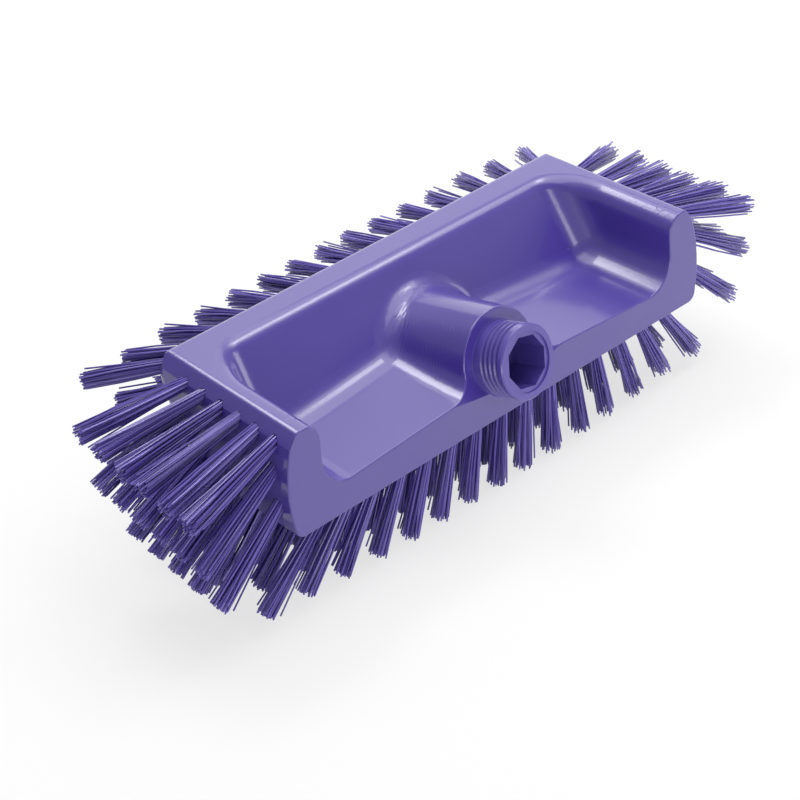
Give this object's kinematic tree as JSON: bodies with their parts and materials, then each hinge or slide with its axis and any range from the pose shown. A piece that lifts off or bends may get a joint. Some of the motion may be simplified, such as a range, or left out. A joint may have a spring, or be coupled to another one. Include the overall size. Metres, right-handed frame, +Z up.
{
  "type": "water-fed scrub brush head",
  "caption": "Long scrub brush head with an open bowl, a threaded water-fed handle nipple, and stiff bristle tufts under the base, along the back and fanned out at both ends.",
  "frame": {"origin": "middle of the overall box, on the floor plane under the base tufts", "axes": "+X along the block, -Y the side of the handle nipple, +Z up out of the open bowl"},
  "size_m": [0.2662, 0.0966, 0.065],
  "materials": {
    "block_plastic": "moulded purple plastic with a soft gloss",
    "bristle": "purple extruded bristle",
    "anchor_metal": "plain flat wire"
  },
  "bodies": {
    "root": {"brush_block": "block_plastic", "base_row_1_tufts": "bristle", "base_row_1_anchors": "anchor_metal", "base_row_2_tufts": "bristle", "base_row_2_anchors": "anchor_metal", "base_row_3_tufts": "bristle", "base_row_3_anchors": "anchor_metal", "base_row_4_tufts": "bristle", "base_row_4_anchors": "anchor_metal", "back_row_1_tufts": "bristle", "back_row_1_anchors": "anchor_metal", "back_row_2_tufts": "bristle", "back_row_2_anchors": "anchor_metal", "back_row_3_tufts": "bristle", "back_row_3_anchors": "anchor_metal", "back_row_4_tufts": "bristle", "back_row_4_anchors": "anchor_metal", "left_end_row_top_tufts": "bristle", "left_end_row_top_anchors": "anchor_metal", "left_end_row_middle_tufts": "bristle", "left_end_row_middle_anchors": "anchor_metal", "left_end_row_foot_tufts": "bristle", "left_end_row_foot_anchors": "anchor_metal", "right_end_row_top_tufts": "bristle", "right_end_row_top_anchors": "anchor_metal", "right_end_row_middle_tufts": "bristle", "right_end_row_middle_anchors": "anchor_metal", "right_end_row_foot_tufts": "bristle", "right_end_row_foot_anchors": "anchor_metal"}
  },
  "joints": []
}
